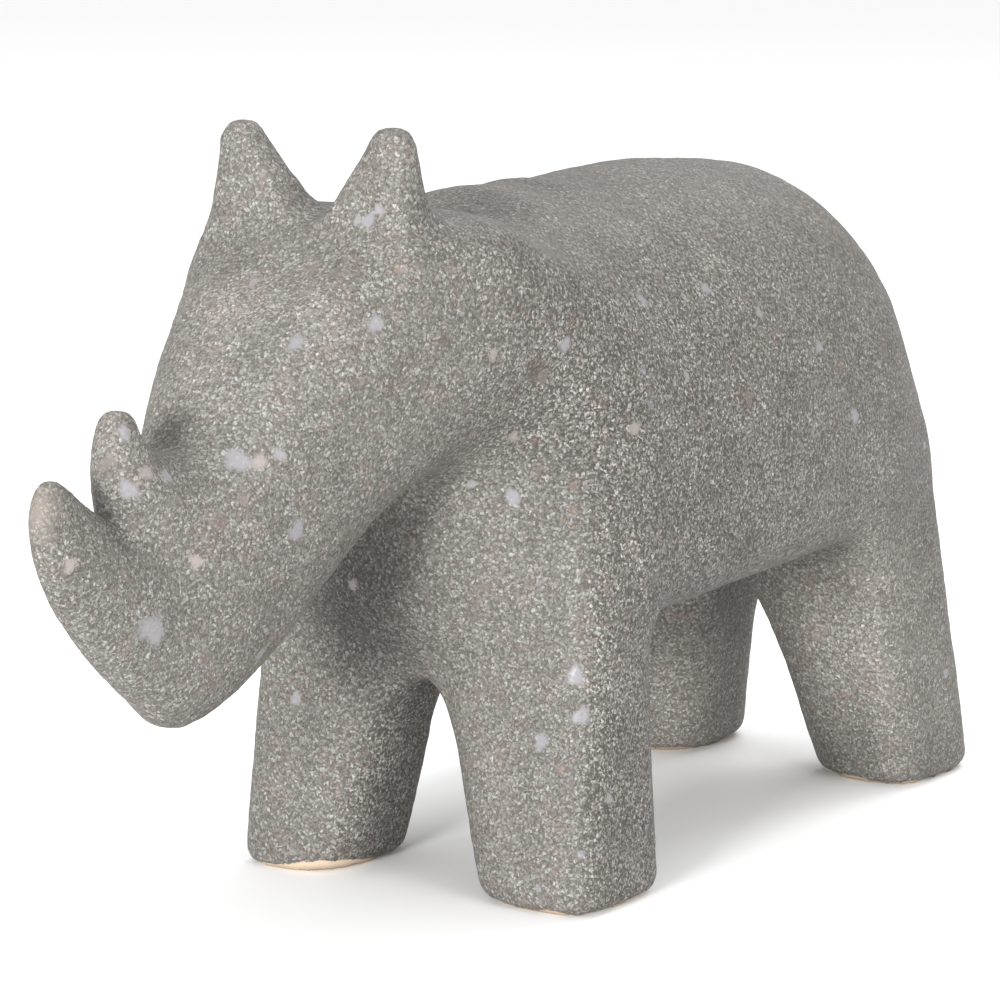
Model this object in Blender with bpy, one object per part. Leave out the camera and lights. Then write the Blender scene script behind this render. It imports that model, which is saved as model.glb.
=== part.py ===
"""Rhinoceros figurine: one cast ceramic body on four legs, facing -Y, feet on z = 0.

The animal is built from plain forms: a rounded barrel for the trunk, tapered blocks for the legs,
a wedge for the head, slabs for the ears and bent cones for the horns. Each form is a function that
gives the distance of a point to its skin. A sphere shrunk onto each form gives its mesh, the meshes
are fused, and the fused skin is drawn onto the same forms run together with soft fillets.
"""
import math

import bmesh
import bpy
import numpy as np
from mathutils import Vector

HEIGHT = 0.160

# Trunk
TRUNK_HALF_WIDTH = 0.282 * HEIGHT
TRUNK_WIDEST_Y = 0.060 * HEIGHT
TRUNK_TAPER = 0.075
BACK_HEIGHT = 0.898 * HEIGHT
BACK_CREST_Y = -0.042 * HEIGHT
BACK_FALL_REAR = 0.214
BACK_FALL_FRONT = 0.018
BACK_DIP = 0.012 * HEIGHT
BACK_DIP_Y = -0.180 * HEIGHT
BACK_DIP_LENGTH = 0.160 * HEIGHT
BELLY_HEIGHT = 0.352 * HEIGHT
BELLY_RISE = 0.040
RUMP_Y = 0.549 * HEIGHT
CHEST_Y = -0.540 * HEIGHT
BACK_ROUND = 0.335 * HEIGHT
RUMP_ROUND = 0.298 * HEIGHT
CHEST_ROUND = 0.215 * HEIGHT
BELLY_ROUND = 0.110 * HEIGHT
TRUNK_POWER = 2.00

# Legs, measured at the sole, with leans as sideways travel per unit of height. The uneven share is
# added to the left fore leg on its outer and inner face, and taken off the right one.
LEG_OUTER_X = 0.276 * HEIGHT
LEG_OUTER_LEAN = -0.040
LEG_TOP = 0.600 * HEIGHT
FORE_INNER_X = 0.103 * HEIGHT
FORE_INNER_LEAN = -0.260
FORE_FRONT_Y = -0.512 * HEIGHT
FORE_FRONT_LEAN = 0.100
FORE_UNEVEN = 0.008 * HEIGHT
FORE_REAR_Y = -0.292 * HEIGHT
FORE_REAR_LEAN = -0.020
HIND_INNER_X = 0.099 * HEIGHT
HIND_INNER_LEAN = -0.208
HIND_FRONT_Y = 0.352 * HEIGHT
HIND_FRONT_LEAN = -0.275
HIND_REAR_Y = 0.571 * HEIGHT
HIND_REAR_LEAN = -0.210
LEG_FACET_ROUND = 0.055 * HEIGHT
LEG_BACK_ROUND = 0.085 * HEIGHT
LEG_TOP_ROUND = 0.150 * HEIGHT
SOLE_ROUND = 0.026 * HEIGHT

# Neck: a block between head and trunk that widens towards the trunk
NECK_FRONT_Y = -0.650 * HEIGHT
NECK_REAR_Y = -0.300 * HEIGHT
NECK_FRONT_HALF_WIDTH = 0.188 * HEIGHT
NECK_SPREAD = 0.170
NECK_TOP = 0.816 * HEIGHT
NECK_BOTTOM = 0.575 * HEIGHT
NECK_ROUND = 0.190 * HEIGHT

# Head: a wedge along an axis that drops forward from the crown
HEAD_Y = -0.594 * HEIGHT
HEAD_Z = 0.738 * HEIGHT
HEAD_SLOPE = math.radians(44.3)
HEAD_LENGTH = 0.587 * HEIGHT
HEAD_BACK = 0.150 * HEIGHT
FOREHEAD_RISE = 0.166 * HEIGHT
FOREHEAD_BOW = 0.113 * HEIGHT
JAW_DROP = 0.100 * HEIGHT
CHEEK_HALF_WIDTH = 0.188 * HEIGHT
MUZZLE_NARROWING = 0.090 * HEIGHT
HEAD_STEP = 0.375 * HEIGHT
MUZZLE_ROUND = 0.216 * HEIGHT
NAPE_ROUND = 0.125 * HEIGHT
CROWN_HEIGHT = 0.895 * HEIGHT
CROWN_ROUND = 0.062 * HEIGHT
HEAD_POWER = 3.60
HEAD_POWER_FALL = 1.07
HEAD_POWER_LEAST = 2.0
HEAD_POWER_MOST = 5.0
HEAD_THINNEST = 0.020 * HEIGHT

# Ears: upright slabs, thin at the tip
EAR_BASE_X = 0.074 * HEIGHT
EAR_BASE_Y = -0.665 * HEIGHT
EAR_BASE_Z = 0.809 * HEIGHT
EAR_BASE_RADIUS = 0.090 * HEIGHT
EAR_BASE_HALF_THICKNESS = 0.050 * HEIGHT
EAR_TIP_X = 0.112 * HEIGHT
EAR_TIP_Y = -0.679 * HEIGHT
EAR_TIP_RADIUS = 0.030 * HEIGHT
EAR_TIP_Z = HEIGHT - EAR_TIP_RADIUS
EAR_TIP_HALF_THICKNESS = 0.020 * HEIGHT
EAR_EDGE_ROUND = 0.022 * HEIGHT

# Horns: root, elbow and tip in the middle plane, radii at root and tip, and how much thinner
# they are from side to side than from front to back
NOSE_HORN_ROOT = (-0.980 * HEIGHT, 0.412 * HEIGHT)
NOSE_HORN_ELBOW = (-1.182 * HEIGHT, 0.523 * HEIGHT)
NOSE_HORN_TIP = (-1.199 * HEIGHT, 0.601 * HEIGHT)
NOSE_HORN_ROOT_RADIUS = 0.097 * HEIGHT
NOSE_HORN_TIP_RADIUS = 0.030 * HEIGHT
NOSE_HORN_THINNESS = 1.75
BROW_HORN_ROOT = (-0.980 * HEIGHT, 0.563 * HEIGHT)
BROW_HORN_ELBOW = (-1.077 * HEIGHT, 0.586 * HEIGHT)
BROW_HORN_TIP = (-1.078 * HEIGHT, 0.672 * HEIGHT)
BROW_HORN_ROOT_RADIUS = 0.070 * HEIGHT
BROW_HORN_TIP_RADIUS = 0.025 * HEIGHT
BROW_HORN_THINNESS = 1.1
HORN_STEPS = 24

# Fillets where the forms run together
LEG_FILLET = 0.046 * HEIGHT
FORE_CROTCH_FILLET = 0.130 * HEIGHT
HIND_CROTCH_FILLET = 0.151 * HEIGHT
SHOULDER_FILLET = 0.080 * HEIGHT
NECK_FILLET = 0.120 * HEIGHT
HORN_FILLET = 0.020 * HEIGHT
HORN_FILLET_SPREAD = 0.45
EAR_FILLET = 0.038 * HEIGHT

# No form reaches further than this from its middle
FORM_REACH = 1.5 * HEIGHT

# Deep inside a rounded form the reading is held at this share of the way out from its core
CORE_SHARE = 0.35

# Mesh fineness
SPHERE_DIVISIONS = 5
HALVINGS = 24
SKIN_STEP = 0.0125 * HEIGHT
DRAWS = 1
PULLS = 8
LEAST_SLOPE = 0.05
TRIANGLES = 9000
FLAT = 0.0025 * HEIGHT

GLAZE_COLOUR = (0.29, 0.275, 0.255, 1.0)
GLAZE_ROUGHNESS = 0.55


def soft_max(a, b, reach):
    """The greater of two distances, rounded where they differ by less than reach."""
    h = np.maximum(reach - np.abs(a - b), 0.0)
    return np.maximum(a, b) + h * h / (4.0 * reach)


def soft_min(a, b, reach):
    """The lesser of two distances, filleted where they differ by less than reach."""
    return -soft_max(-a, -b, reach)


def rounded(sides, radii, power):
    """Distance to a form whose walls, given as signed distances, turn into each other.

    Each wall starts to curve at its own radius inside the skin, and the curves add up as a
    superellipse of the given power. The result is divided by its slope, so it reads as a length.
    """
    terms = [np.maximum(1.0 + s / r, 0.0) for s, r in zip(sides, radii)]
    total = np.maximum(sum(t ** power for t in terms) ** (1.0 / power), CORE_SHARE)
    slope = np.sqrt(sum((t ** (power - 1.0) / r) ** 2 for t, r in zip(terms, radii)))
    return (total - 1.0) * total ** (power - 1.0) / np.maximum(slope, 1.0 / FORM_REACH)


def trunk(p):
    """Barrel: flanks that draw in towards both ends, a back that falls over the rump, flat belly."""
    x, y, z = np.abs(p[:, 0]), p[:, 1], p[:, 2]
    along = (y - TRUNK_WIDEST_Y) / HEIGHT
    width = TRUNK_HALF_WIDTH - TRUNK_TAPER * along ** 2 * HEIGHT / 2.0
    behind = y - BACK_CREST_Y
    fall = np.where(behind > 0.0, BACK_FALL_REAR, BACK_FALL_FRONT) * behind ** 2
    dip = BACK_DIP * np.exp(-((y - BACK_DIP_Y) / BACK_DIP_LENGTH) ** 2)
    top = BACK_HEIGHT - fall / HEIGHT - dip
    shell = rounded((x - width, z - top, y - RUMP_Y, CHEST_Y - y),
                    (width, BACK_ROUND, RUMP_ROUND, CHEST_ROUND), TRUNK_POWER)
    return soft_max(shell, BELLY_HEIGHT + BELLY_RISE * y - z, BELLY_ROUND)


def leaning_wall(offset, lean):
    """Distance to a wall that moves sideways by lean for each unit of height."""
    return offset / math.sqrt(1.0 + lean * lean)


def leg(p, side, stout, inner_x, inner_lean, front_y, front_lean, rear_y, rear_lean):
    """Tapered block with a soft edge where its outer and front faces meet, flat on the floor.

    Stout is how much further out its outer and inner faces stand than on a leg of an even pair.
    """
    x, y, z = side * p[:, 0], p[:, 1], p[:, 2]
    outer = leaning_wall(x - LEG_OUTER_X - stout - LEG_OUTER_LEAN * z, LEG_OUTER_LEAN)
    inner = leaning_wall(inner_x - stout + inner_lean * z - x, inner_lean)
    front = leaning_wall(front_y + front_lean * z - y, front_lean)
    rear = leaning_wall(y - rear_y - rear_lean * z, rear_lean)
    block = soft_max(soft_max(outer, front, LEG_FACET_ROUND),
                     soft_max(inner, rear, LEG_BACK_ROUND), LEG_BACK_ROUND)
    return soft_max(soft_max(block, z - LEG_TOP, LEG_TOP_ROUND), -z, SOLE_ROUND)


def fore_leg(p, side):
    return leg(p, side, side * FORE_UNEVEN, FORE_INNER_X, FORE_INNER_LEAN,
               FORE_FRONT_Y, FORE_FRONT_LEAN, FORE_REAR_Y, FORE_REAR_LEAN)


def hind_leg(p, side):
    return leg(p, side, 0.0, HIND_INNER_X, HIND_INNER_LEAN,
               HIND_FRONT_Y, HIND_FRONT_LEAN, HIND_REAR_Y, HIND_REAR_LEAN)


def neck(p):
    """Block whose sides spread from the cheeks to the flanks."""
    x, y, z = np.abs(p[:, 0]), p[:, 1], p[:, 2]
    half = NECK_FRONT_HALF_WIDTH + NECK_SPREAD * (y - NECK_FRONT_Y)
    side = leaning_wall(x - half, NECK_SPREAD)
    block = soft_max(soft_max(side, z - NECK_TOP, NECK_ROUND), y - NECK_REAR_Y, NECK_ROUND)
    return soft_max(block, soft_max(NECK_FRONT_Y - y, NECK_BOTTOM - z, NECK_ROUND), NECK_ROUND)


def head(p):
    """Wedge: flat between the ears, narrower and rounder towards the muzzle."""
    dy, dz = p[:, 1] - HEAD_Y, p[:, 2] - HEAD_Z
    along = -dy * math.cos(HEAD_SLOPE) - dz * math.sin(HEAD_SLOPE)
    across = dz * math.cos(HEAD_SLOPE) - dy * math.sin(HEAD_SLOPE)
    r = along / HEAD_STEP
    top = FOREHEAD_RISE + FOREHEAD_BOW * r * (1.0 - r)
    centre = (top - JAW_DROP) / 2.0
    depth = np.maximum((top + JAW_DROP) / 2.0, HEAD_THINNEST)
    width = np.maximum(CHEEK_HALF_WIDTH - MUZZLE_NARROWING * r, HEAD_THINNEST)
    power = np.clip(HEAD_POWER - HEAD_POWER_FALL * r, HEAD_POWER_LEAST, HEAD_POWER_MOST)
    wedge = rounded((np.abs(p[:, 0]) - width, np.abs(across - centre) - depth,
                     along - HEAD_LENGTH, -HEAD_BACK - along),
                    (width, depth, MUZZLE_ROUND, NAPE_ROUND), power)
    return soft_max(wedge, p[:, 2] - CROWN_HEIGHT, CROWN_ROUND)


def ear(p, side):
    """Slab: a tapered round-ended outline seen from the front, thinning from base to tip."""
    flat = np.stack([side * p[:, 0], p[:, 2]], axis=1)
    base = np.array([EAR_BASE_X, EAR_BASE_Z])
    line = np.array([EAR_TIP_X, EAR_TIP_Z]) - base
    t = np.clip((flat - base) @ line / (line @ line), 0.0, 1.0)
    radius = EAR_BASE_RADIUS + (EAR_TIP_RADIUS - EAR_BASE_RADIUS) * t
    outline = np.linalg.norm(flat - base - t[:, None] * line, axis=1) - radius
    middle = EAR_BASE_Y + (EAR_TIP_Y - EAR_BASE_Y) * t
    half = EAR_BASE_HALF_THICKNESS + (EAR_TIP_HALF_THICKNESS - EAR_BASE_HALF_THICKNESS) * t
    return soft_max(outline, np.abs(p[:, 1] - middle) - half, EAR_EDGE_ROUND)


def horn(p, root, elbow, tip, root_radius, tip_radius, thinness):
    """Bent cone in the middle plane along a curve from root by elbow to tip, thin in x."""
    t = np.linspace(0.0, 1.0, HORN_STEPS + 1)[:, None]
    curve = (1 - t) ** 2 * np.array(root) + 2 * t * (1 - t) * np.array(elbow) + t ** 2 * np.array(tip)
    nodes = np.concatenate([np.zeros_like(t), curve], axis=1)
    radii = root_radius + (tip_radius - root_radius) * t[:, 0]
    q = p * np.array([thinness, 1.0, 1.0])
    nearest = np.full(len(p), np.inf)
    for i in range(HORN_STEPS):
        line = nodes[i + 1] - nodes[i]
        s = np.clip((q - nodes[i]) @ line / (line @ line), 0.0, 1.0)
        reach = np.linalg.norm(q - nodes[i] - s[:, None] * line, axis=1)
        nearest = np.minimum(nearest, reach - radii[i] - (radii[i + 1] - radii[i]) * s)
    return nearest / thinness


def nose_horn(p):
    return horn(p, NOSE_HORN_ROOT, NOSE_HORN_ELBOW, NOSE_HORN_TIP,
                NOSE_HORN_ROOT_RADIUS, NOSE_HORN_TIP_RADIUS, NOSE_HORN_THINNESS)


def brow_horn(p):
    return horn(p, BROW_HORN_ROOT, BROW_HORN_ELBOW, BROW_HORN_TIP,
                BROW_HORN_ROOT_RADIUS, BROW_HORN_TIP_RADIUS, BROW_HORN_THINNESS)


def pair(p, form, fillet):
    """A form and its mirror image, run together."""
    return soft_min(form(p, 1.0), form(p, -1.0), fillet)


def animal(p):
    """All forms run together, each join with its own fillet; those of the horns widen sideways."""
    legs = np.minimum(pair(p, fore_leg, FORE_CROTCH_FILLET), pair(p, hind_leg, HIND_CROTCH_FILLET))
    d = soft_min(trunk(p), legs, LEG_FILLET)
    d = soft_min(d, neck(p), SHOULDER_FILLET)
    d = soft_min(d, head(p), NECK_FILLET)
    reach = HORN_FILLET + HORN_FILLET_SPREAD * np.abs(p[:, 0])
    d = soft_min(d, nose_horn(p), reach)
    d = soft_min(d, brow_horn(p), reach)
    return soft_min(d, pair(p, ear, EAR_FILLET), EAR_FILLET)


def slope(field, p):
    """Direction in which the distance grows fastest, by differences across a tenth of a skin step."""
    step = SKIN_STEP / 10.0
    g = np.empty_like(p)
    for axis in range(3):
        shift = np.zeros(3)
        shift[axis] = step
        g[:, axis] = (field(p + shift) - field(p - shift)) / (2.0 * step)
    return g


def coordinates(mesh):
    flat = np.empty(len(mesh.vertices) * 3)
    mesh.vertices.foreach_get("co", flat)
    return flat.reshape(-1, 3)


def set_coordinates(mesh, points):
    mesh.vertices.foreach_set("co", points.ravel())
    mesh.update()


def shrunk_sphere(bm, field, centre):
    """Adds a sphere around centre whose points lie where rays from centre leave the form."""
    made = bmesh.ops.create_icosphere(bm, subdivisions=SPHERE_DIVISIONS, radius=1.0)["verts"]
    rays = np.array([v.co for v in made])
    near = np.zeros(len(rays))
    far = np.full(len(rays), FORM_REACH)
    for _ in range(HALVINGS):
        middle = (near + far) / 2.0
        outside = field(np.array(centre) + rays * middle[:, None]) > 0.0
        far = np.where(outside, middle, far)
        near = np.where(outside, near, middle)
    for v, ray, reach in zip(made, rays, near):
        v.co = Vector(centre) + Vector(ray * reach)


def halfway(a, b):
    return tuple((u + v) / 2.0 for u, v in zip(a, b))


def evaluated(obj):
    """A new mesh with the object's modifiers applied."""
    graph = bpy.context.evaluated_depsgraph_get()
    return bpy.data.meshes.new_from_object(obj.evaluated_get(graph), depsgraph=graph)


def fused(mesh):
    """The one outer skin of everything in the mesh, in even square faces."""
    obj = bpy.data.objects.new("forms", mesh)
    bpy.context.scene.collection.objects.link(obj)
    remesh = obj.modifiers.new("fuse", "REMESH")
    remesh.mode = "VOXEL"
    remesh.voxel_size = SKIN_STEP
    skin = evaluated(obj)
    bpy.data.objects.remove(obj)
    return skin


def fused_forms():
    """One closed skin around all the forms, before the fillets."""
    bm = bmesh.new()
    shrunk_sphere(bm, trunk, (0.0, (RUMP_Y + CHEST_Y) / 2.0, (BACK_HEIGHT + BELLY_HEIGHT) / 2.0))
    shrunk_sphere(bm, neck, (0.0, (NECK_FRONT_Y + NECK_REAR_Y) / 2.0, (NECK_TOP + NECK_BOTTOM) / 2.0))
    ahead = (HEAD_LENGTH - HEAD_BACK) / 2.0
    shrunk_sphere(bm, head, (0.0, HEAD_Y - ahead * math.cos(HEAD_SLOPE),
                             HEAD_Z - ahead * math.sin(HEAD_SLOPE)))
    nose = halfway(NOSE_HORN_ROOT, NOSE_HORN_ELBOW)
    shrunk_sphere(bm, nose_horn, (0.0, *nose))
    brow = halfway(BROW_HORN_ROOT, BROW_HORN_ELBOW)
    shrunk_sphere(bm, brow_horn, (0.0, *brow))
    leg_x = (LEG_OUTER_X + FORE_INNER_X) / 2.0
    for side in (-1.0, 1.0):
        def on_side(form, side=side):
            return lambda p: form(p, side)
        fore = (FORE_FRONT_Y + FORE_REAR_Y) / 2.0
        shrunk_sphere(bm, on_side(fore_leg), (side * leg_x, fore, LEG_TOP / 2.0))
        hind = (HIND_FRONT_Y + HIND_REAR_Y + (HIND_FRONT_LEAN + HIND_REAR_LEAN) * LEG_TOP / 2.0) / 2.0
        shrunk_sphere(bm, on_side(hind_leg), (side * leg_x, hind, LEG_TOP / 2.0))
        tip = halfway((EAR_BASE_X, EAR_BASE_Y, EAR_BASE_Z), (EAR_TIP_X, EAR_TIP_Y, EAR_TIP_Z))
        shrunk_sphere(bm, on_side(ear), (side * tip[0], tip[1], tip[2]))
    mesh = bpy.data.meshes.new("forms")
    bm.to_mesh(mesh)
    bm.free()
    return fused(mesh)


def draw_onto(mesh, field):
    """Moves every point along the field's slope until it lies on the filleted skin."""
    points = coordinates(mesh)
    for _ in range(PULLS):
        g = slope(field, points)
        step = field(points) / np.maximum((g * g).sum(axis=1), LEAST_SLOPE)
        step = np.clip(step, -SKIN_STEP, SKIN_STEP)
        points -= g * step[:, None]
    set_coordinates(mesh, points)


def thinned(mesh):
    """The same skin with fewer, larger triangles where it is nearly flat."""
    obj = bpy.data.objects.new("forms", mesh)
    bpy.context.scene.collection.objects.link(obj)
    thin = obj.modifiers.new("thin_out", "DECIMATE")
    thin.ratio = TRIANGLES / sum(len(f.vertices) - 2 for f in mesh.polygons)
    thin.use_collapse_triangulate = True
    light = evaluated(obj)
    bpy.data.objects.remove(obj)
    return light


def settle(mesh):
    """Sets the soles flat on the floor and the middle of the length on y = 0."""
    points = coordinates(mesh)
    points[points[:, 2] < FLAT, 2] = 0.0
    points[:, 1] -= (points[:, 1].min() + points[:, 1].max()) / 2.0
    set_coordinates(mesh, points)


def glaze():
    material = bpy.data.materials.new("sandy_grey_glaze")
    material.use_nodes = True
    shader = material.node_tree.nodes["Principled BSDF"]
    shader.inputs["Base Color"].default_value = GLAZE_COLOUR
    shader.inputs["Roughness"].default_value = GLAZE_ROUGHNESS
    shader.inputs["Metallic"].default_value = 0.0
    return material


def build():
    for old in list(bpy.data.objects):
        bpy.data.objects.remove(old)
    skin = fused_forms()
    for _ in range(DRAWS):
        draw_onto(skin, animal)
        skin = fused(skin)
    draw_onto(skin, animal)
    skin = thinned(skin)
    settle(skin)
    skin.materials.append(glaze())
    skin.shade_smooth()
    obj = bpy.data.objects.new("rhinoceros_figure", skin)
    bpy.context.scene.collection.objects.link(obj)


build()
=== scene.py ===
"""Rhinoceros figurine: one stoneware casting under a coarse sandy glaze, seen from its front left.

The casting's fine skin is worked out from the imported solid. Melted beads of glaze lie on it, and
the clay shows bare where the glaze stops short of the soles. Lengths are in metres.
"""
import math

import bmesh
import bpy
import numpy as np
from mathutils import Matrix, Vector


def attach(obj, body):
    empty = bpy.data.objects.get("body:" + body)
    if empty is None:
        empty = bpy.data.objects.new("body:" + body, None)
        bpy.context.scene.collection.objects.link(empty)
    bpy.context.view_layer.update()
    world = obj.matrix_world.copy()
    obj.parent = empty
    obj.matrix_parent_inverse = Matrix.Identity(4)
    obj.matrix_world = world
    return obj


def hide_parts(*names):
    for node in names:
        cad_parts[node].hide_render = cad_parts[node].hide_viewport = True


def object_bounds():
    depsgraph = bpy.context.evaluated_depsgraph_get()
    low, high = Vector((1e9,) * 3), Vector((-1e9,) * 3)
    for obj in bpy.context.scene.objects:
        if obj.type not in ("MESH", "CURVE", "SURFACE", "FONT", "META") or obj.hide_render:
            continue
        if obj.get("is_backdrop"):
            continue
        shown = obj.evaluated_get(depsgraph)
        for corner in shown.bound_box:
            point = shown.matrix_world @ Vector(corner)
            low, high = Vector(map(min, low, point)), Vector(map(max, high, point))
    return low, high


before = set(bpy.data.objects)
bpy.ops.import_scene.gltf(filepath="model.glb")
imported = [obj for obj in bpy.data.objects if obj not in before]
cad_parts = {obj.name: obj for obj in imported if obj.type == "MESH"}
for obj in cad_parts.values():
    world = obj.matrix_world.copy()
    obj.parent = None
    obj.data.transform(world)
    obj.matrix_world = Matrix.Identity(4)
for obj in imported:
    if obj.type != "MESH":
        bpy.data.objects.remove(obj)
CAD_LOW, CAD_HIGH = (np.array(corner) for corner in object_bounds())

NODE = "rhinoceros_figure"

# Casting: net of its skin and how it is evened, swells and lumps of the cast, thickness of the
# glaze and the height over which it comes in, and the height below which the sole is flat
SKIN_STEP = 0.00115
JOIN_WITHIN = 1e-6
ROUNDING_LEVELS = 2
SOFTENING_ROUNDS = 6
INWARD, OUTWARD = 0.50, -0.53
SWELL_ACROSS = 0.011
SWELL_HEIGHT = 0.00016
LUMP_ACROSS = 0.0026
LUMP_HEIGHT = 0.00016
LUMP_SHARE, FINE_LUMP_SHARE = 0.6, 0.4
FINE_LUMP_SIZE = 0.55
BARE_LUMP_SHARE = 0.15
COAT = 0.00030
EDGE_FADE = 0.0008
SOLE = 0.0005

# Glaze: width of a grain, and the relief of its bump and how much of it shows
GRAIN_ACROSS = 0.00066
GRAIN_RELIEF = 0.00030
RELIEF_SHARE = 0.5

# Camera: the photograph's viewing angle
AZIMUTH = math.radians(33.65)
ELEVATION = math.radians(9.68)
DISTANCE = 0.9612
AIM = np.array([0.0, 0.0086, 0.0763])
LENS = 165.5
SENSOR = 36.0
PIXELS = 1000.0
# How far from a line of sight the skin still counts as being on it
SIGHT_WIDTH = 0.0012

# Studio: height that the lamps aim at, and their distance; then each lamp's direction in degrees
# around and up, its size and its watts; half width and height of the table top
LAMP_AIM = 0.08
LAMP_AWAY = 1.6
LAMPS = (("front_light", 10, 8, 0.35, 33), ("side_light", 70, 12, 0.5, 8),
         ("rear_light", 180, 50, 1.0, 13))
TABLE_HALF = 12.0
TABLE_TOP = -0.00002


# ---------------------------------------------------------------- camera

BACK = np.array([math.sin(AZIMUTH) * math.cos(ELEVATION),
                 -math.cos(AZIMUTH) * math.cos(ELEVATION), math.sin(ELEVATION)])
RIGHT = np.array([math.cos(AZIMUTH), math.sin(AZIMUTH), 0.0])
UP = np.cross(BACK, RIGHT)
EYE = AIM + BACK * DISTANCE


def placed(name, data):
    obj = bpy.data.objects.new(name, data)
    bpy.context.scene.collection.objects.link(obj)
    return obj


def aimed(obj, place, back):
    """Puts a camera or a lamp in its place, looking the other way from back."""
    obj.location = place
    obj.rotation_mode = "QUATERNION"
    obj.rotation_quaternion = Vector(-back).to_track_quat("-Z", "Y")


def camera():
    data = bpy.data.cameras.new("camera")
    data.lens = LENS
    data.sensor_width = SENSOR
    data.clip_start = 0.05
    data.clip_end = 40.0
    obj = placed("camera", data)
    aimed(obj, EYE, BACK)
    bpy.context.scene.camera = obj


# ---------------------------------------------------------------- numbers that vary over space

def fading(share):
    return np.clip(share, 0.0, 1.0)


def smooth(t):
    """The smooth step t * t * (3 - 2 t)."""
    return t * t * (3.0 - 2.0 * t)


def scrambled(cells, seed):
    """A fixed number from 0 to 1 for each whole-number cell: the sine of its weighted sum, times a
    large number, less the whole part."""
    mixed = cells @ np.array([127.1, 311.7, 74.7]) + seed * 53.3
    wave = np.sin(mixed) * 43758.5453
    return wave - np.floor(wave)


def swelling(points, across, seed):
    """Soft noise from -1 to 1: the numbers at the eight corners of each point's cell, blended along
    each axis by the smooth step of the way across."""
    cells = points / across
    corner = np.floor(cells)
    t = smooth(cells - corner)
    total = np.zeros(len(points))
    for offset in np.ndindex(2, 2, 2):
        sides = np.where(offset, t, 1 - t)
        weight = sides[:, 0] * sides[:, 1] * sides[:, 2]
        total += weight * scrambled(corner + np.array(offset), seed)
    return total * 2.0 - 1.0


# ---------------------------------------------------------------- meshes

def read(mesh, what):
    flat = np.empty(len(mesh.vertices) * 3, np.float32)
    mesh.vertices.foreach_get(what, flat)
    return flat.reshape(-1, 3).astype(float)


def points_of(mesh):
    return read(mesh, "co")


def normals_of(mesh):
    return read(mesh, "normal")


def set_points(mesh, points):
    mesh.vertices.foreach_set("co", points.astype(np.float32).ravel())
    mesh.update()


def set_values(mesh, **values):
    """Keeps numbers on the points of a mesh, under the names that the materials read."""
    for name, numbers in values.items():
        layer = mesh.attributes.new(name, "FLOAT", "POINT")
        layer.data.foreach_set("value", numbers.astype(np.float32))


def evaluated(obj):
    graph = bpy.context.evaluated_depsgraph_get()
    return bpy.data.meshes.new_from_object(obj.evaluated_get(graph), depsgraph=graph)


def softened(mesh, rounds):
    """Evens the skin without shrinking it: each round moves every point part of the way to the
    average of its neighbours, then a little further back the other way."""
    points = points_of(mesh)
    ends = np.empty(len(mesh.edges) * 2, np.int32)
    mesh.edges.foreach_get("vertices", ends)
    a, b = ends.reshape(-1, 2).T
    count = np.bincount(ends, minlength=len(points))[:, None]
    for _ in range(rounds):
        for share in (INWARD, OUTWARD):
            total = np.zeros_like(points)
            for axis in range(3):
                total[:, axis] = (np.bincount(a, points[b, axis], len(points))
                                  + np.bincount(b, points[a, axis], len(points)))
            points += share * (total / count - points)
    set_points(mesh, points)


def fine_skin(solid):
    """The solid's own skin in an even net of small square faces: its loose triangles joined, two
    rounds of averaging subdivision to turn facets into curves, then a remesh in small cubes."""
    bm = bmesh.new()
    bm.from_mesh(solid.data)
    bmesh.ops.remove_doubles(bm, verts=bm.verts, dist=JOIN_WITHIN)
    mesh = bpy.data.meshes.new("casting")
    bm.to_mesh(mesh)
    bm.free()
    obj = placed("casting", mesh)
    rounding = obj.modifiers.new("rounding", "SUBSURF")
    rounding.levels = ROUNDING_LEVELS
    rounding.render_levels = ROUNDING_LEVELS
    net = obj.modifiers.new("net", "REMESH")
    net.mode = "VOXEL"
    net.voxel_size = SKIN_STEP
    fine = evaluated(obj)
    bpy.data.objects.remove(obj)
    softened(fine, SOFTENING_ROUNDS)
    return fine


# Height of the glaze's edge: its mean, and two waves by height and width
EDGE_HEIGHT = 0.0006
EDGE_WAVES = ((0.0004, 0.006, 3), (0.0003, 0.0022, 4))
# Places where the clay is bare higher up, at the right fore and the left hind foot: middle in the
# plan, reach across and along, and height
BARE_TOES = ((-0.022, -0.024, 0.009, 0.010, 0.0026), (0.026, 0.114, 0.008, 0.010, 0.0010))


def glaze_edge(points):
    """Height above which the glaze starts, over each point of the plan: a low uneven line, plus a
    bell curve over each bare toe."""
    flat = points * np.array([1.0, 1.0, 0.0])
    edge = EDGE_HEIGHT
    for height, across, seed in EDGE_WAVES:
        edge = edge + height * swelling(flat, across, seed)
    for x, y, reach_x, reach_y, height in BARE_TOES:
        edge = edge + height * np.exp(-((points[:, 0] - x) / reach_x) ** 2
                                      - ((points[:, 1] - y) / reach_y) ** 2)
    return edge


# Tips where the glaze is thin: place, radius and strength for the two horns and the two ears
HIGH_POINTS = (((0.0, -0.1436, 0.0960), 0.010, 1.0), ((0.0, -0.1215, 0.1115), 0.006, 0.7),
               ((0.0178, -0.0560, 0.1590), 0.007, 0.45), ((-0.0178, -0.0560, 0.1590), 0.007, 0.45))


def thin_glaze(points):
    """How thin the glaze is, 0 to 1: most at the tips of the two horns and the ears."""
    reach = np.zeros(len(points))
    for tip, radius, share in HIGH_POINTS:
        away = np.linalg.norm(points - np.array(tip), axis=1) / radius
        reach = np.maximum(reach, share * fading(1.0 - away))
    return reach


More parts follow.
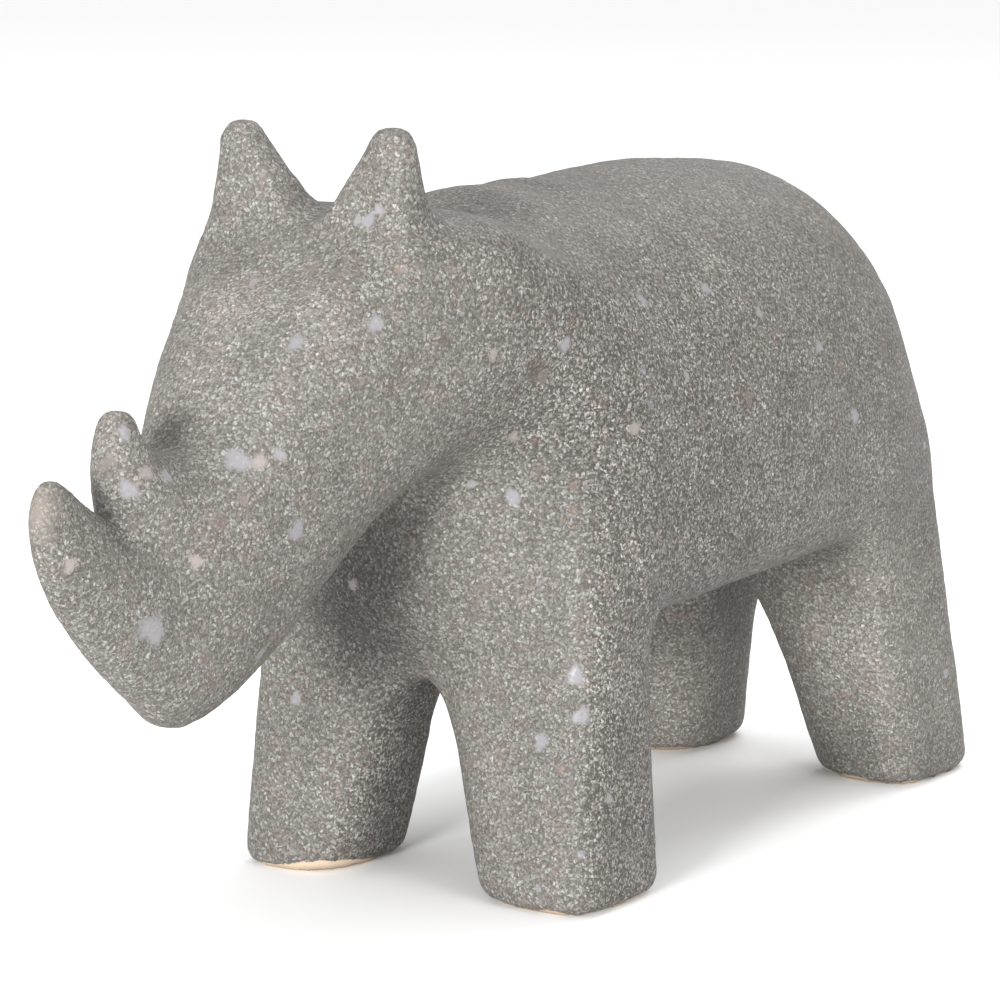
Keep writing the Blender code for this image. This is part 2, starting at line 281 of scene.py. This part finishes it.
# Sides of the trunk: how much painted shade darkens the skin that faces left or right, the
# normal's reach to the side where that starts and is full, and where the painted grain shading
# (darker gaps and lighter grains, as grazing light gives) fades out in front and behind; then how
# much of that painted grain shading lies in the zones of painted shade
SIDE_PAINTED_SHADE = 0.05
SHADED_ZONE_GRAIN_SHADING = 1.4
SIDE_FROM, SIDE_TO = 0.50, 0.90
TRUNK_FRONT, TRUNK_FRONT_FADE = -0.060, 0.040
TRUNK_REAR, TRUNK_REAR_FADE = 0.105, 0.08


def casting():
    """The glazed casting. Its skin is lifted along its normals by slow swells, small lumps and,
    above the glaze's edge, the thickness of the coat; the soles stay flat."""
    mesh = fine_skin(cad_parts[NODE])
    points, normals = points_of(mesh), normals_of(mesh)
    side = sidewards(normals)
    edge = glaze_edge(points)
    above = (points[:, 2] - edge) / EDGE_FADE
    lumps = (swelling(points, LUMP_ACROSS, 1) * LUMP_SHARE
             + swelling(points, LUMP_ACROSS * FINE_LUMP_SIZE, 2) * FINE_LUMP_SHARE)
    lift = SWELL_HEIGHT * swelling(points, SWELL_ACROSS, 0) + COAT * fading(above)
    lift += LUMP_HEIGHT * lumps * np.clip(above, BARE_LUMP_SHARE, 1.0)
    points += normals * lift[:, None]
    points[points[:, 2] < SOLE, 2] = 0.0
    points = np.clip(points, CAD_LOW, CAD_HIGH)
    set_points(mesh, points)
    mesh.shade_smooth()
    normals = normals_of(mesh)
    stained = stains(points, on_skin(points, normals, SEEN_STAINS))
    # Painted light and shade: colour made lighter or darker in zones for how light falls, as
    # painted shade under the jaw and painted light on the forehead and hind legs
    pale = paleness(points, on_skin(points, normals, SEEN_PAINTED_LIGHT_AND_SHADE))
    # Painted grain shading: darker gaps and lighter grains on the skin facing left or right, as
    # grazing light gives, and in the zones of painted shade
    coarse = side * trunk_share(points) + SHADED_ZONE_GRAIN_SHADING * fading(1.0 - pale)
    # Painted shade: the skin facing left or right is made a little darker
    pale *= 1.0 - SIDE_PAINTED_SHADE * side
    set_values(mesh, glaze_edge=points[:, 2] - edge, thin_glaze=thin_glaze(points), stain=stained,
               paleness=pale, coarseness=coarse)
    return placed("glazed_casting", mesh)


def sidewards(normals):
    """How far the skin faces left or right, 0 to 1: the smooth step of the normal's reach to the
    side, between two limits. Painted shade darkens the colour a little there, and painted grain
    shading darkens the gaps and lightens the grains, as grazing light would."""
    return smooth(fading((np.abs(normals[:, 0]) - SIDE_FROM) / (SIDE_TO - SIDE_FROM)))


def trunk_share(points):
    """1 along the trunk and the fore legs, fading straight to 0 towards the head and the rump."""
    return (fading((points[:, 1] - TRUNK_FRONT) / TRUNK_FRONT_FADE)
            * fading((TRUNK_REAR - points[:, 1]) / TRUNK_REAR_FADE))


def seen_at(points, normals, column, row):
    """The nearest point of the skin to the line of sight through a place in the photograph, among
    those that face the camera and are in front."""
    line = -BACK + (RIGHT * (column / PIXELS - 0.5) + UP * (0.5 - row / PIXELS)) * SENSOR / LENS
    line /= np.linalg.norm(line)
    away = points - EYE
    along = away @ line
    off = np.linalg.norm(away - along[:, None] * line, axis=1)
    near = np.where((off < SIGHT_WIDTH) & (normals @ line < 0.0), along, np.inf)
    return int(np.argmin(near)) if np.isfinite(near.min()) else -1


def on_skin(points, normals, seen):
    """Places in the photograph made places on the skin, each with its radius and strength."""
    found = [(seen_at(points, normals, column, row), radius, strength)
             for column, row, radius, strength in seen]
    return [(points[index], radius, strength) for index, radius, strength in found if index >= 0]


# Stains in the glaze: place in the photograph, radius in metres, strength
SEEN_STAINS = ((540, 375, 0.0028, 0.9), (750, 400, 0.0026, 0.8), (497, 310, 0.0022, 0.5),
               (517, 312, 0.0020, 0.5), (638, 430, 0.0024, 0.5), (362, 640, 0.0022, 0.4),
               (490, 690, 0.0026, 0.35), (350, 852, 0.0022, 0.6), (370, 845, 0.0018, 0.5),
               (425, 645, 0.0022, 0.4), (615, 375, 0.0022, 0.4), (690, 495, 0.0024, 0.4),
               (455, 342, 0.0016, 0.5), (722, 275, 0.0024, 0.3), (640, 330, 0.0018, 0.3))


def stains(points, marks):
    """Brown patches, 0 to 1: each fades with the square of the distance from its middle."""
    total = np.zeros(len(points))
    for place, radius, strength in marks:
        away = ((points - place) ** 2).sum(axis=1) / radius ** 2
        total = np.maximum(total, strength * fading(1.0 - 0.5 * away))
    return total


# Painted light and shade: zones whose colour is made lighter (above 1) or darker (below 1) for how
# light falls, such as painted shade under the jaw and painted light on the forehead and hind legs:
# place in the photograph, radius in metres, and how bright the colour is there against the rest
SEEN_PAINTED_LIGHT_AND_SHADE = ((250, 320, 0.024, 1.23), (232, 400, 0.012, 0.97), (240, 180, 0.010, 1.02),
              (620, 760, 0.014, 0.91), (350, 605, 0.018, 0.50), (425, 565, 0.012, 0.94),
              (112, 512, 0.005, 0.74), (720, 540, 0.020, 0.88), (890, 680, 0.018, 1.10),
              (800, 640, 0.018, 1.68), (690, 690, 0.022, 1.62), (195, 625, 0.016, 1.06),
              (130, 450, 0.006, 1.12), (945, 690, 0.010, 1.18), (320, 760, 0.012, 0.90),
              (395, 760, 0.007, 1.10), (88, 600, 0.009, 0.90), (560, 450, 0.018, 0.81),
              (480, 230, 0.012, 0.95))


def paleness(points, zones):
    """Painted light and shade: product over the zones of 1 plus the zone's excess, which fades in a
    bell curve.
    """
    total = np.ones(len(points))
    for place, radius, strength in zones:
        away = ((points - place) ** 2).sum(axis=1) / radius ** 2
        total *= 1.0 + (strength - 1.0) * np.exp(-away)
    return total


# Beads of melted glaze seen in the photograph: place there, radius in metres, and tone, from
# lavender at 0 by pale pink at 0.5 to brown at 1
SEEN_BEADS = ((242, 459, 0.0035, 0.05), (262, 461, 0.0022, 0.55), (302, 531, 0.0026, 0.0),
              (157, 630, 0.0042, 0.1), (134, 491, 0.0024, 0.0), (127, 428, 0.0019, 0.1),
              (149, 468, 0.0018, 0.4), (284, 454, 0.0018, 0.1), (196, 567, 0.0019, 0.5),
              (223, 527, 0.0020, 0.9), (248, 497, 0.0012, 0.7), (74, 564, 0.0018, 0.5),
              (172, 474, 0.0018, 0.1), (291, 700, 0.0018, 0.0), (266, 655, 0.0018, 0.1),
              (208, 659, 0.0019, 0.9), (246, 635, 0.0012, 0.9), (296, 337, 0.0024, 0.05),
              (381, 324, 0.0023, 0.0), (252, 277, 0.0018, 0.35), (364, 219, 0.0020, 0.0),
              (377, 213, 0.0016, 0.15), (352, 222, 0.0014, 0.1), (570, 343, 0.0019, 0.0),
              (647, 297, 0.0019, 0.0), (708, 285, 0.0019, 0.0), (860, 414, 0.0023, 0.05),
              (510, 499, 0.0022, 0.0), (472, 487, 0.0015, 0.1), (573, 679, 0.0026, 0.0),
              (583, 717, 0.0024, 0.0), (537, 745, 0.0023, 0.0), (612, 803, 0.0016, 0.1),
              (518, 438, 0.0015, 0.6), (640, 428, 0.0018, 0.55), (499, 352, 0.0015, 0.5),
              (823, 350, 0.0018, 0.2), (762, 310, 0.0016, 0.3), (548, 380, 0.0019, 0.95),
              (753, 400, 0.0018, 0.95), (690, 372, 0.0015, 0.4), (350, 590, 0.0015, 0.3))
# Beads on the far side: how many, their tones, their smallest radius and what is added at most, how
# far from the camera they face, and the height above which they lie
OTHER_BEADS = 90
OTHER_TONES = [0.0, 0.05, 0.1, 0.3, 0.5, 0.9]
OTHER_RADIUS, OTHER_SPREAD = 0.0008, 0.0018
OTHER_FACING = -0.05
OTHER_ABOVE = 0.006
# Form of a bead: rings by their share of the radius, spokes, rise of the middle, sink of the rim,
# the waves of its outline by turns and height, and the reach over which the skin is averaged; then
# the skin that is read around a bead, in radii and beyond them, and how far it may face away
BEAD_RINGS = np.array([0.22, 0.44, 0.64, 0.80, 0.92, 1.0])
BEAD_SPOKES = 20
BEAD_RISE = 0.00016
BEAD_SINK = 0.00008
BEAD_WAVES = ((2, 0.16), (3, 0.12), (5, 0.07))
SKIN_AVERAGE = 0.0010
NEAR_RADII, NEAR_BEYOND = 1.6, 0.003
FACING = 0.2


def bead_disc(points, normals, centre, axis, radius, phase):
    """One flat drop: a middle point and rings of points. Its outline is a circle made uneven by
    waves of two, three and five turns. Every point moves along the drop's axis onto the averaged
    planes of the skin near it, and rises by the root of one less the square of its share of the
    way to the rim, less a little, so that the rim dips under the skin. Gives points and shares."""
    turn = np.arange(BEAD_SPOKES) * 2.0 * np.pi / BEAD_SPOKES
    first = np.cross(axis, np.eye(3)[np.argmin(np.abs(axis))])
    first /= np.linalg.norm(first)
    second = np.cross(axis, first)
    outline = 1.0 + sum(height * np.cos(turns * turn + start)
                        for (turns, height), start in zip(BEAD_WAVES, phase))
    rim = np.concatenate([[0.0], np.repeat(BEAD_RINGS, BEAD_SPOKES)])
    reach = radius * np.concatenate([[0.0], (BEAD_RINGS[:, None] * outline).ravel()])
    around = np.concatenate([[0.0], np.tile(turn, len(BEAD_RINGS))])
    disc = (centre + (reach * np.cos(around))[:, None] * first
            + (reach * np.sin(around))[:, None] * second)
    near = np.linalg.norm(points - centre, axis=1) < radius * NEAR_RADII + NEAR_BEYOND
    near &= normals @ axis > FACING
    apart = disc[:, None, :] - points[near][None, :, :]
    weight = np.exp(-(apart ** 2).sum(axis=2) / SKIN_AVERAGE ** 2) + 1e-9
    height = (apart * normals[near][None, :, :]).sum(axis=2)
    over = (weight * height).sum(axis=1) / weight.sum(axis=1)
    rise = BEAD_RISE * np.sqrt(fading(1.0 - rim ** 2)) - BEAD_SINK
    return disc + (rise - over)[:, None] * axis, rim


def bead_faces():
    """Faces of one drop: triangles from the middle to the first ring, then bands of squares."""
    spoke = np.arange(BEAD_SPOKES)
    after = (spoke + 1) % BEAD_SPOKES
    fan = np.stack([np.zeros_like(spoke), 1 + spoke, 1 + after], axis=1)
    inner = 1 + BEAD_SPOKES * np.arange(len(BEAD_RINGS) - 1)[:, None]
    band = np.stack([inner + spoke, inner + BEAD_SPOKES + spoke, inner + BEAD_SPOKES + after,
                     inner + after], axis=2)
    return fan, band.reshape(-1, 4)


def beads(skin):
    """Flat drops of melted glaze: those that are seen, and others drawn for the far side."""
    points, normals = points_of(skin), normals_of(skin)
    chance = np.random.default_rng(7)
    chosen = [(seen_at(points, normals, column, row), radius, tone)
              for column, row, radius, tone in SEEN_BEADS]
    chosen = [bead for bead in chosen if bead[0] >= 0]
    hidden = np.nonzero((normals @ BACK < OTHER_FACING) & (points[:, 2] > OTHER_ABOVE))[0]
    for index in chance.choice(hidden, OTHER_BEADS, replace=False):
        tone = float(chance.choice(OTHER_TONES))
        radius = OTHER_RADIUS + OTHER_SPREAD * chance.random() ** 2.5
        chosen.append((int(index), radius, tone))
    fan, band = bead_faces()
    places, faces, rims, tones = [], [], [], []
    for number, (index, radius, tone) in enumerate(chosen):
        phase = chance.random(3) * 2.0 * np.pi
        disc, rim = bead_disc(points, normals, points[index], normals[index], radius, phase)
        faces += (fan + number * len(rim)).tolist() + (band + number * len(rim)).tolist()
        places.append(disc)
        rims.append(rim)
        tones.append(np.full(len(rim), tone))
    mesh = bpy.data.meshes.new("melted_beads")
    mesh.from_pydata(np.clip(np.concatenate(places), CAD_LOW, CAD_HIGH).tolist(), [], faces)
    mesh.shade_smooth()
    set_values(mesh, rim=np.concatenate(rims), tone=np.concatenate(tones))
    return placed("melted_beads", mesh)


# ---------------------------------------------------------------- materials

def feed(tree, made, inputs):
    for name, value in inputs.items():
        if isinstance(value, bpy.types.NodeSocket):
            tree.links.new(value, made.inputs[name])
        else:
            made.inputs[name].default_value = value


def node(tree, kind, inputs=None, **settings):
    """One node of a shader tree. Inputs are given by name or number, each a value or a socket."""
    made = tree.nodes.new(kind)
    for name, value in settings.items():
        setattr(made, name, value)
    feed(tree, made, inputs or {})
    return made


def calc(tree, operation, first, second=0.0, third=0.0):
    return node(tree, "ShaderNodeMath", {0: first, 1: second, 2: third},
                operation=operation).outputs[0]


def eased(tree, value, low, high, to_low=0.0, to_high=1.0):
    """A value from low to high turned smoothly into one from to_low to to_high."""
    return node(tree, "ShaderNodeMapRange",
                {"Value": value, "From Min": low, "From Max": high, "To Min": to_low,
                 "To Max": to_high},
                interpolation_type="SMOOTHSTEP").outputs["Result"]


def blended(tree, share, first, second, kind="MIX"):
    return node(tree, "ShaderNodeMix", {0: share, 6: first, 7: second},
                data_type="RGBA", blend_type=kind).outputs[2]


def scaled(tree, vector, factor):
    return node(tree, "ShaderNodeVectorMath", {0: vector, "Scale": factor},
                operation="SCALE").outputs[0]


def added(tree, first, second, operation="ADD"):
    return node(tree, "ShaderNodeVectorMath", {0: first, 1: second},
                operation=operation).outputs[0]


def noise(tree, place, scale, detail, output="Fac"):
    return node(tree, "ShaderNodeTexNoise",
                {"Vector": place, "Scale": scale, "Detail": detail}).outputs[output]


def kept_value(tree, name):
    """A number that set_values() keeps on the mesh."""
    return node(tree, "ShaderNodeAttribute", attribute_name=name).outputs["Fac"]


def ramp(tree, share, *stops):
    """A colour ramp: each stop is its place and its red, green and blue."""
    made = node(tree, "ShaderNodeValToRGB", {"Fac": share})
    elements = made.color_ramp.elements
    while len(elements) < len(stops):
        elements.new(0.5)
    for element, (place, *colour) in zip(elements, stops):
        element.position = place
        element.color = (*colour, 1.0)
    return made.outputs["Color"]


VECTOR, FLOAT, COLOUR = "NodeSocketVector", "NodeSocketFloat", "NodeSocketColor"


def group(name, inputs, outputs):
    """An empty node group: its tree, its inputs, and its output node."""
    tree = bpy.data.node_groups.new(name, "ShaderNodeTree")
    for label, kind, value in inputs:
        socket = tree.interface.new_socket(name=label, in_out="INPUT", socket_type=kind)
        if value is not None:
            socket.default_value = value
    for label, kind in outputs:
        tree.interface.new_socket(name=label, in_out="OUTPUT", socket_type=kind)
    return tree, tree.nodes.new("NodeGroupInput").outputs, tree.nodes.new("NodeGroupOutput")


def grains_group():
    """Coarse sand set in glaze: short bent grains from cells whose places are warped by noise."""
    tree, given, out = group("sand_grains", (("Vector", VECTOR, None), ("Across", FLOAT, 0.0007)),
                             (("Grain", FLOAT), ("Random", FLOAT), ("Tint", FLOAT), ("Fine", FLOAT),
                              ("Height", FLOAT)))
    place = given["Vector"]
    per_metre = calc(tree, "DIVIDE", 1.0, given["Across"])
    warp = noise(tree, place, calc(tree, "MULTIPLY", per_metre, 0.75), 1.0, "Color")
    centred = added(tree, warp, (0.5, 0.5, 0.5), "SUBTRACT")
    bent = added(tree, place, scaled(tree, centred, calc(tree, "MULTIPLY", given["Across"], 2.2)))
    cells = node(tree, "ShaderNodeTexVoronoi", {"Vector": bent, "Scale": per_metre})
    grain = eased(tree, cells.outputs["Distance"], 0.74, 0.26)
    parts = node(tree, "ShaderNodeSeparateColor", {0: cells.outputs["Color"]}).outputs
    fine = noise(tree, place, calc(tree, "MULTIPLY", per_metre, 2.2), 1.0)
    tall = calc(tree, "MULTIPLY_ADD", parts[0], 0.5, 0.5)
    height = calc(tree, "MULTIPLY_ADD", fine, 0.45, calc(tree, "MULTIPLY", grain, tall))
    feed(tree, out, {"Grain": grain, "Random": parts[0], "Tint": parts[1], "Fine": fine,
                     "Height": height})
    return tree


def specks_group():
    """Scattered round specks: of the cells of a coarse net a chosen share holds one, near its
    middle, and each has its own size."""
    tree, given, out = group("scattered_specks",
                             (("Vector", VECTOR, None), ("Apart", FLOAT, 0.006),
                              ("Share", FLOAT, 0.2), ("Radius", FLOAT, 0.1),
                              ("Roughen", FLOAT, 0.0006)), (("Speck", FLOAT),))
    ragged = noise(tree, given["Vector"], 900.0, 2.0, "Color")
    place = added(tree, given["Vector"], scaled(tree, ragged, given["Roughen"]))
    cells = node(tree, "ShaderNodeTexVoronoi",
                 {"Vector": place, "Scale": calc(tree, "DIVIDE", 1.0, given["Apart"])})
    parts = node(tree, "ShaderNodeSeparateColor", {0: cells.outputs["Color"]}).outputs
    chosen = calc(tree, "LESS_THAN", parts[0], given["Share"])
    size = calc(tree, "MULTIPLY", given["Radius"], calc(tree, "MULTIPLY_ADD", parts[1], 0.8, 0.5))
    near = calc(tree, "SUBTRACT", 1.0, calc(tree, "DIVIDE", cells.outputs["Distance"], size))
    feed(tree, out, {"Speck": calc(tree, "MULTIPLY", eased(tree, near, 0.0, 0.35), chosen)})
    return tree


# Specks in the glaze, brown, rust and lavender: distance apart, share of the cells that hold one,
# radius in cells, colour and strength
SPECKS = ((0.0050, 0.13, 0.15, (0.095, 0.066, 0.053, 1), 0.55),
          (0.0062, 0.12, 0.17, (0.19, 0.135, 0.112, 1), 0.6),
          (0.0085, 0.16, 0.13, (0.225, 0.219, 0.242, 1), 0.7))


def sand_colour_group(grains, specks):
    """Colour of the sandy glaze: dark warm gaps, grey grains of many strengths, slow mottling, and
    the specks. Melt is the share of the last, glossy kind."""
    tree, given, out = group("sandy_glaze_colour",
                             (("Vector", VECTOR, None), ("Across", FLOAT, 0.0007)),
                             (("Colour", COLOUR), ("Height", FLOAT), ("Melt", FLOAT)))
    place = given["Vector"]
    sand = node(tree, "ShaderNodeGroup", node_tree=grains)
    feed(tree, sand, {"Vector": place, "Across": given["Across"]})
    grey = ramp(tree, sand.outputs["Random"], (0.0, 0.132, 0.123, 0.113),
                (0.45, 0.190, 0.181, 0.168), (0.8, 0.238, 0.230, 0.216), (1.0, 0.325, 0.319, 0.304))
    hue = ramp(tree, sand.outputs["Tint"], (0.0, 0.92, 1.0, 0.99), (0.5, 1.0, 1.0, 1.0),
               (0.85, 1.0, 0.97, 0.95), (1.0, 1.0, 0.86, 0.80))
    gap = ramp(tree, sand.outputs["Fine"], (0.32, 0.060, 0.053, 0.046), (0.66, 0.128, 0.118, 0.107))
    colour = blended(tree, sand.outputs["Grain"], gap, blended(tree, 1.0, grey, hue, "MULTIPLY"))
    mottling = ramp(tree, noise(tree, place, 75.0, 3.0), (0.3, 0.88, 0.885, 0.88),
                    (0.7, 1.10, 1.09, 1.085))
    colour = blended(tree, 1.0, colour, mottling, "MULTIPLY")
    patch = eased(tree, noise(tree, place, 260.0, 2.0), 0.60, 0.72, 0.0, 0.5)
    colour = blended(tree, patch, colour, (0.160, 0.137, 0.126, 1))
    for apart, share, radius, shade, strength in SPECKS:
        made = node(tree, "ShaderNodeGroup", node_tree=specks)
        feed(tree, made, {"Vector": place, "Apart": apart, "Share": share, "Radius": radius})
        melt = calc(tree, "MULTIPLY", made.outputs["Speck"], strength)
        colour = blended(tree, melt, colour, shade)
    feed(tree, out, {"Colour": colour, "Height": sand.outputs["Height"], "Melt": melt})
    return tree


def new_material(name, specular):
    made = bpy.data.materials.new(name)
    made.use_nodes = True
    tree = made.node_tree
    shader = tree.nodes["Principled BSDF"]
    shader.inputs["Specular IOR Level"].default_value = specular
    return made, tree, shader


def sand_on(tree, sand_colour):
    """The piece's own coordinates, and the sandy glaze on them."""
    place = node(tree, "ShaderNodeTexCoord").outputs["Object"]
    sand = node(tree, "ShaderNodeGroup", node_tree=sand_colour)
    feed(tree, sand, {"Vector": place, "Across": GRAIN_ACROSS})
    return place, sand.outputs


def bumped(tree, height):
    return node(tree, "ShaderNodeBump", {"Height": height, "Distance": GRAIN_RELIEF,
                                         "Strength": RELIEF_SHARE}).outputs["Normal"]


def glaze_material(sand_colour):
    """Sandy glaze, thin and beige at the high tips, stained brown in places, with painted light and
    shade in zones, and painted grain shading (darker gaps, lighter grains) where light would graze,
    ending in a ragged line above the soles where the cream clay is bare."""
    made, tree, shader = new_material("sandy_glaze_on_stoneware", 0.22)
    place, sand = sand_on(tree, sand_colour)
    ragged = noise(tree, place, 1300.0, 2.0)
    stained = calc(tree, "MULTIPLY_ADD", ragged, 0.7, kept_value(tree, "stain"))
    colour = blended(tree, eased(tree, stained, 0.55, 1.15, 0.0, 0.75), sand["Colour"],
                     (0.092, 0.073, 0.063, 1))
    worn = calc(tree, "MULTIPLY_ADD", ragged, 0.5, kept_value(tree, "thin_glaze"))
    colour = blended(tree, eased(tree, worn, 0.5, 1.2, 0.0, 0.6), colour, (0.215, 0.190, 0.163, 1))
    # Painted grain shading: gaps darker and grains lighter by the kept painted grain shading
    relief = calc(tree, "MULTIPLY", calc(tree, "SUBTRACT", sand["Height"], 0.66),
                  kept_value(tree, "coarseness"))
    painted_grain_factor = calc(tree, "MULTIPLY_ADD", relief, 0.54, 1.0)
    # The colour is scaled by the zones' painted light and shade and by the painted grain shading
    colour = scaled(tree, colour, calc(tree, "MULTIPLY", kept_value(tree, "paleness"), painted_grain_factor))
    rough_edge = calc(tree, "MULTIPLY_ADD", calc(tree, "SUBTRACT", ragged, 0.5), 0.0011,
                      kept_value(tree, "glaze_edge"))
    glazed = eased(tree, rough_edge, -0.00008, 0.00012)
    grit = noise(tree, place, 2600.0, 3.0)
    clay = ramp(tree, grit, (0.3, 0.46, 0.37, 0.275), (0.7, 0.56, 0.46, 0.35))
    gloss = eased(tree, sand["Melt"], 0.0, 0.8, 0.62, 0.32)
    roughness = calc(tree, "MULTIPLY_ADD", calc(tree, "SUBTRACT", 1.0, glazed), 0.3, gloss)
    height = calc(tree, "MULTIPLY_ADD", glazed, calc(tree, "ADD", sand["Height"], 0.6),
                  calc(tree, "MULTIPLY", grit, 0.15))
    feed(tree, shader, {"Base Color": blended(tree, glazed, clay, colour), "Roughness": roughness,
                        "Normal": bumped(tree, height)})
    return made


def bead_material(sand_colour):
    """Melted glaze: smoother and glossier than the sand, fading into it at the rim."""
    made, tree, shader = new_material("melted_glaze", 0.35)
    place, sand = sand_on(tree, sand_colour)
    cloud = noise(tree, place, 1500.0, 3.0)
    pure = ramp(tree, kept_value(tree, "tone"), (0.0, 0.200, 0.194, 0.206),
                (0.5, 0.225, 0.195, 0.182), (0.85, 0.105, 0.080, 0.070))
    pure = blended(tree, eased(tree, cloud, 0.50, 0.72, 0.0, 0.55), pure, (0.262, 0.256, 0.264, 1))
    pure = blended(tree, eased(tree, cloud, 0.46, 0.28, 0.0, 0.5), pure, (0.150, 0.141, 0.147, 1))
    melted = calc(tree, "MULTIPLY_ADD", cloud, 0.9, kept_value(tree, "rim"))
    melted = eased(tree, melted, 1.38, 0.84)
    height = calc(tree, "MULTIPLY_ADD", calc(tree, "SUBTRACT", 1.0, melted), sand["Height"],
                  calc(tree, "MULTIPLY", cloud, 0.35))
    feed(tree, shader, {"Base Color": blended(tree, melted, sand["Colour"], pure),
                        "Roughness": eased(tree, melted, 0.0, 1.0, 0.62, 0.36),
                        "Normal": bumped(tree, height)})
    return made


# ---------------------------------------------------------------- studio

def floor():
    """Plain pale table top."""
    made = bpy.data.materials.new("pale_table")
    made.use_nodes = True
    shader = made.node_tree.nodes["Principled BSDF"]
    shader.inputs["Roughness"].default_value = 0.9
    shader.inputs["Base Color"].default_value = (0.93, 0.93, 0.93, 1)
    mesh = bpy.data.meshes.new("table_top")
    corners = [(x * TABLE_HALF, y * TABLE_HALF, TABLE_TOP)
               for x, y in ((-1, -1), (1, -1), (1, 1), (-1, 1))]
    mesh.from_pydata(corners, [], [(0, 1, 2, 3)])
    mesh.materials.append(made)
    placed("table_top", mesh)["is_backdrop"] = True


def lamp(name, azimuth, elevation, size, watts):
    """A square soft light aimed at the figure's middle."""
    a, e = math.radians(azimuth), math.radians(elevation)
    back = Vector((math.sin(a) * math.cos(e), -math.cos(a) * math.cos(e), math.sin(e)))
    data = bpy.data.lights.new(name, "AREA")
    data.size = size
    data.energy = watts
    aimed(placed(name, data), Vector((0, 0, LAMP_AIM)) + back * LAMP_AWAY, back)


def studio():
    world = bpy.data.worlds.new("studio")
    world.use_nodes = True
    surround = world.node_tree.nodes["Background"].inputs
    surround["Color"].default_value = (1, 1, 1, 1)
    surround["Strength"].default_value = 1.0
    bpy.context.scene.world = world
    for each in LAMPS:
        lamp(*each)
    bpy.context.scene.view_settings.view_transform = "Standard"


# ---------------------------------------------------------------- the figure

def main():
    camera()
    studio()
    floor()
    skin = casting()
    grains, specks = grains_group(), specks_group()
    sand_colour = sand_colour_group(grains, specks)
    skin.data.materials.clear()
    skin.data.materials.append(glaze_material(sand_colour))
    drops = beads(skin.data)
    drops.data.materials.append(bead_material(sand_colour))
    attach(skin, "root")
    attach(drops, "root")
    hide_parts(NODE)


main()
